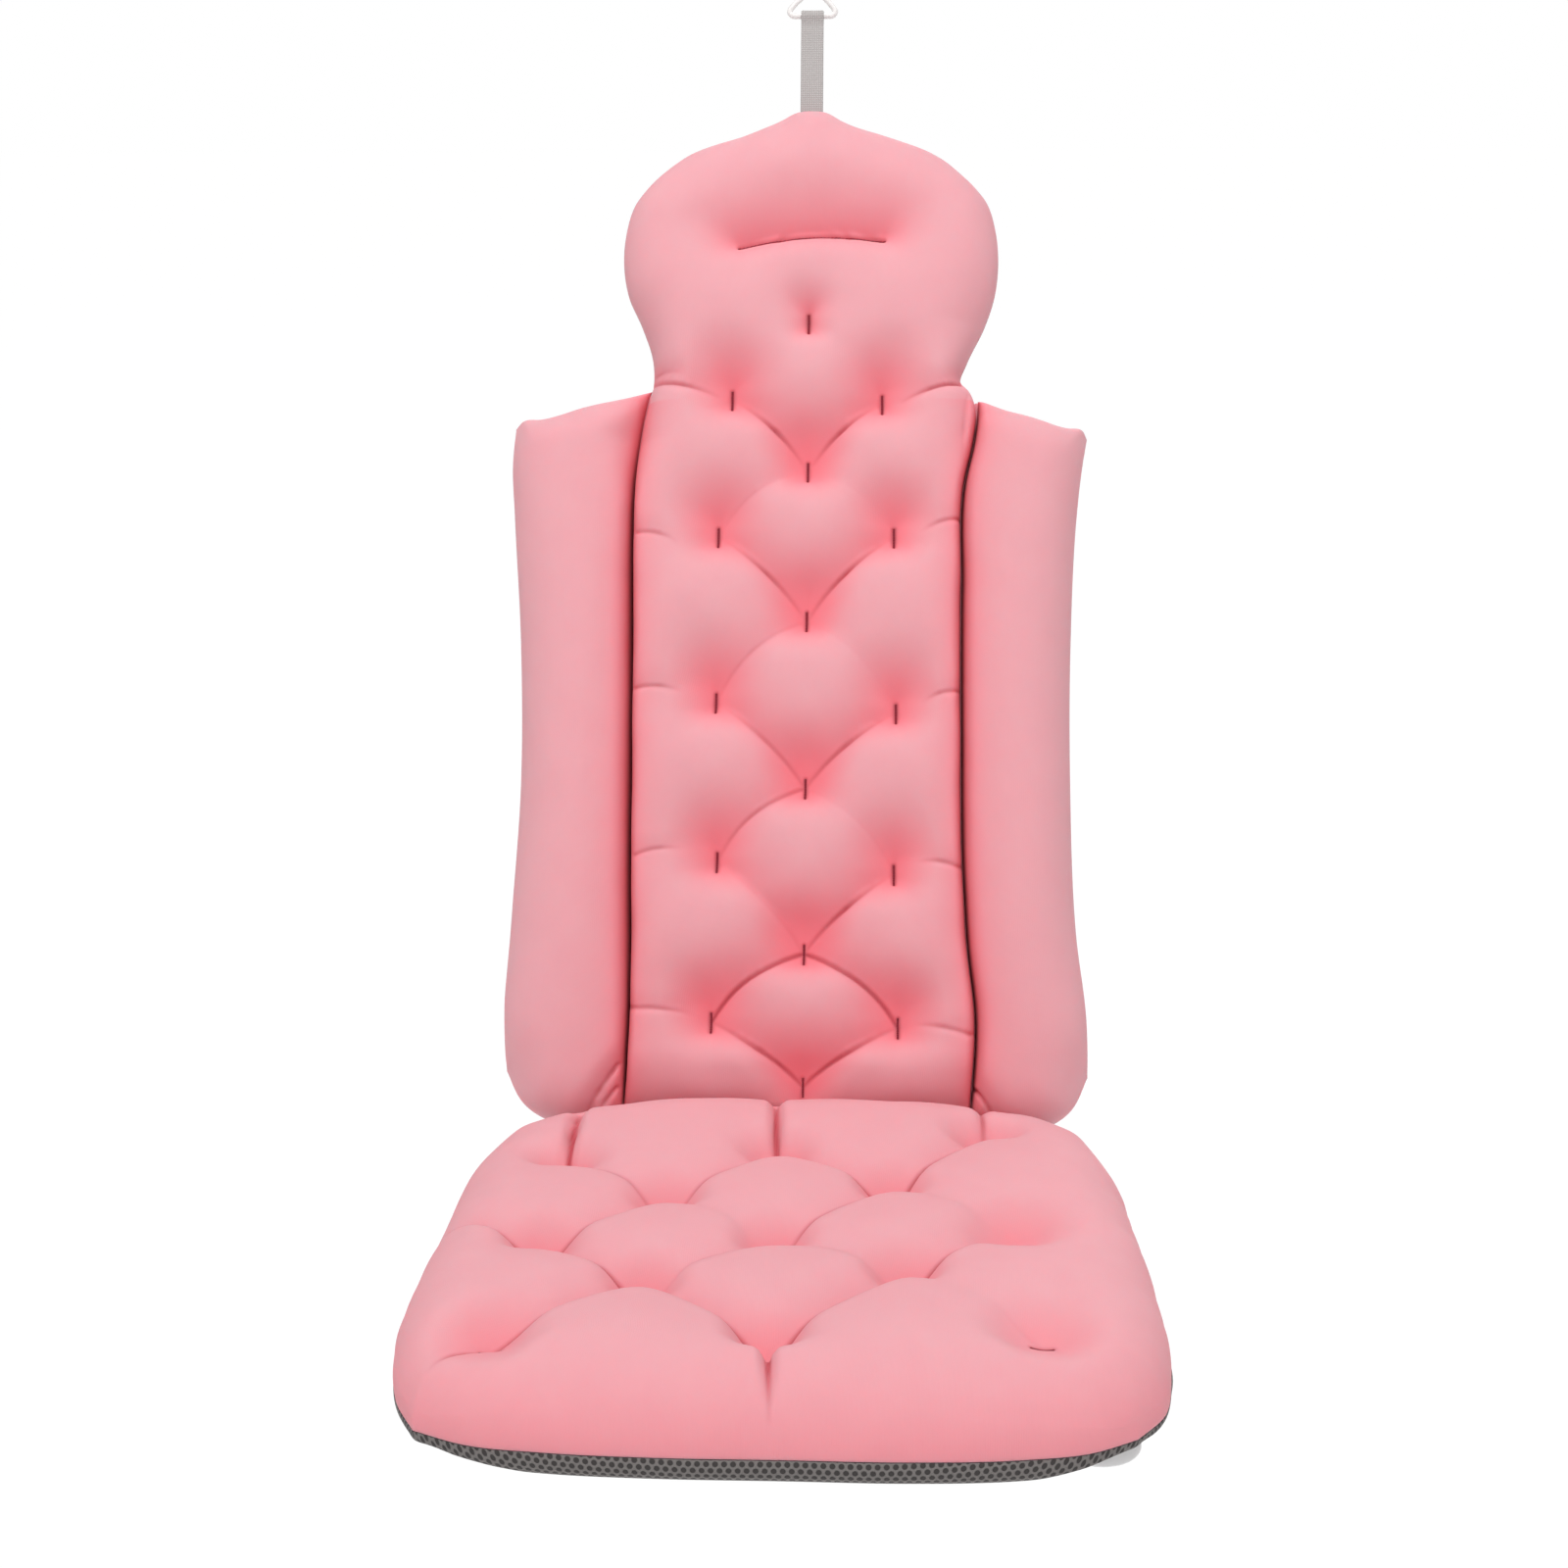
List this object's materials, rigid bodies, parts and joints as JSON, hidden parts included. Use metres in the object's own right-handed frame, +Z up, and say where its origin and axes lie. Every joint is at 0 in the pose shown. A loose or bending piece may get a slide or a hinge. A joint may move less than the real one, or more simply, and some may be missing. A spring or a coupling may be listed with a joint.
{
  "type": "bath pillow",
  "caption": "Tufted lounger pillow for a bathtub: head rest, back between two side bolsters, folding seat, air-mesh underside on suction cups, and a strap with a hook.",
  "frame": {"origin": "on the centre plane, on the line where the tub floor under the seat's cups meets the sloping end wall behind the back's cups", "axes": "+Z up, the sitter faces -Y, and +X is to the right as seen from the front"},
  "size_m": [0.4564, 0.6876, 0.8398],
  "materials": {
    "pink_knit": "smooth matte stretch knit, padded",
    "pink_binding": "rolled knit binding in the fold seams",
    "wadding": "white polyester fibre filling",
    "grey_air_mesh": "three-layer air mesh with oval holes",
    "maroon_thread": "dense bar-tack sewing thread",
    "clear_vinyl": "soft translucent moulded vinyl",
    "grey_webbing": "flat woven webbing",
    "white_plastic": "white plastic-coated wire"
  },
  "bodies": {
    "back": {"back_air_mesh": "grey_air_mesh", "back_cover": "pink_knit", "back_filling": "wadding", "back_lower_left_cup": "clear_vinyl", "back_lower_right_cup": "clear_vinyl", "back_tuft_tack_1": "maroon_thread", "back_tuft_tack_10": "maroon_thread", "back_tuft_tack_11": "maroon_thread", "back_tuft_tack_12": "maroon_thread", "back_tuft_tack_13": "maroon_thread", "back_tuft_tack_14": "maroon_thread", "back_tuft_tack_15": "maroon_thread", "back_tuft_tack_2": "maroon_thread", "back_tuft_tack_3": "maroon_thread", "back_tuft_tack_4": "maroon_thread", "back_tuft_tack_5": "maroon_thread", "back_tuft_tack_6": "maroon_thread", "back_tuft_tack_7": "maroon_thread", "back_tuft_tack_8": "maroon_thread", "back_tuft_tack_9": "maroon_thread", "back_upper_left_cup": "clear_vinyl", "back_upper_right_cup": "clear_vinyl", "left_bolster_binding": "pink_binding", "neck_binding": "pink_binding", "right_bolster_binding": "pink_binding", "seat_fold_binding": "pink_binding"},
    "head": {"head_air_mesh": "grey_air_mesh", "head_channel_stitch": "maroon_thread", "head_cover": "pink_knit", "head_filling": "wadding", "head_tuft_tack": "maroon_thread"},
    "seat": {"seat_air_mesh": "grey_air_mesh", "seat_cover": "pink_knit", "seat_filling": "wadding", "seat_front_left_cup": "clear_vinyl", "seat_front_right_cup": "clear_vinyl", "seat_rear_left_cup": "clear_vinyl", "seat_rear_right_cup": "clear_vinyl", "seat_tuft_tack_1": "maroon_thread", "seat_tuft_tack_10": "maroon_thread", "seat_tuft_tack_11": "maroon_thread", "seat_tuft_tack_12": "maroon_thread", "seat_tuft_tack_13": "maroon_thread", "seat_tuft_tack_2": "maroon_thread", "seat_tuft_tack_3": "maroon_thread", "seat_tuft_tack_4": "maroon_thread", "seat_tuft_tack_5": "maroon_thread", "seat_tuft_tack_6": "maroon_thread", "seat_tuft_tack_7": "maroon_thread", "seat_tuft_tack_8": "maroon_thread", "seat_tuft_tack_9": "maroon_thread"},
    "left_bolster": {"left_bolster_air_mesh": "grey_air_mesh", "left_bolster_cover": "pink_knit", "left_bolster_filling": "wadding"},
    "right_bolster": {"right_bolster_air_mesh": "grey_air_mesh", "right_bolster_cover": "pink_knit", "right_bolster_filling": "wadding"},
    "strap": {"strap": "grey_webbing"},
    "hook": {"hook": "white_plastic"}
  },
  "joints": [
    {"name": "seat_fold", "type": "hinge", "parent": "back", "child": "seat", "pos_m": [0, -0.03235, 0.05], "axis": [1, 0, 0], "range_deg": [-30, 70]},
    {"name": "head_tilt", "type": "hinge", "parent": "back", "child": "head", "pos_m": [0, 0.1566, 0.52821], "axis": [1, 0, 0], "range_deg": [-40, 40], "stiffness_Nm_per_rad": 4},
    {"name": "left_bolster_fold", "type": "hinge", "parent": "back", "child": "left_bolster", "pos_m": [-0.12, 0.06683, 0.2874], "axis": [0, 0.342, 0.9397], "range_deg": [-75, 25], "stiffness_Nm_per_rad": 2},
    {"name": "right_bolster_fold", "type": "hinge", "parent": "back", "child": "right_bolster", "pos_m": [0.12, 0.06683, 0.2874], "axis": [0, -0.342, -0.9397], "range_deg": [-75, 25], "stiffness_Nm_per_rad": 2},
    {"name": "strap_swing", "type": "hinge", "parent": "head", "child": "strap", "pos_m": [0, 0.22494, 0.71596], "axis": [1, 0, 0], "range_deg": [-80, 80]},
    {"name": "hook_swing", "type": "hinge", "parent": "strap", "child": "hook", "pos_m": [0, 0.2482, 0.77986], "axis": [1, 0, 0], "range_deg": [-100, 100]}
  ]
}
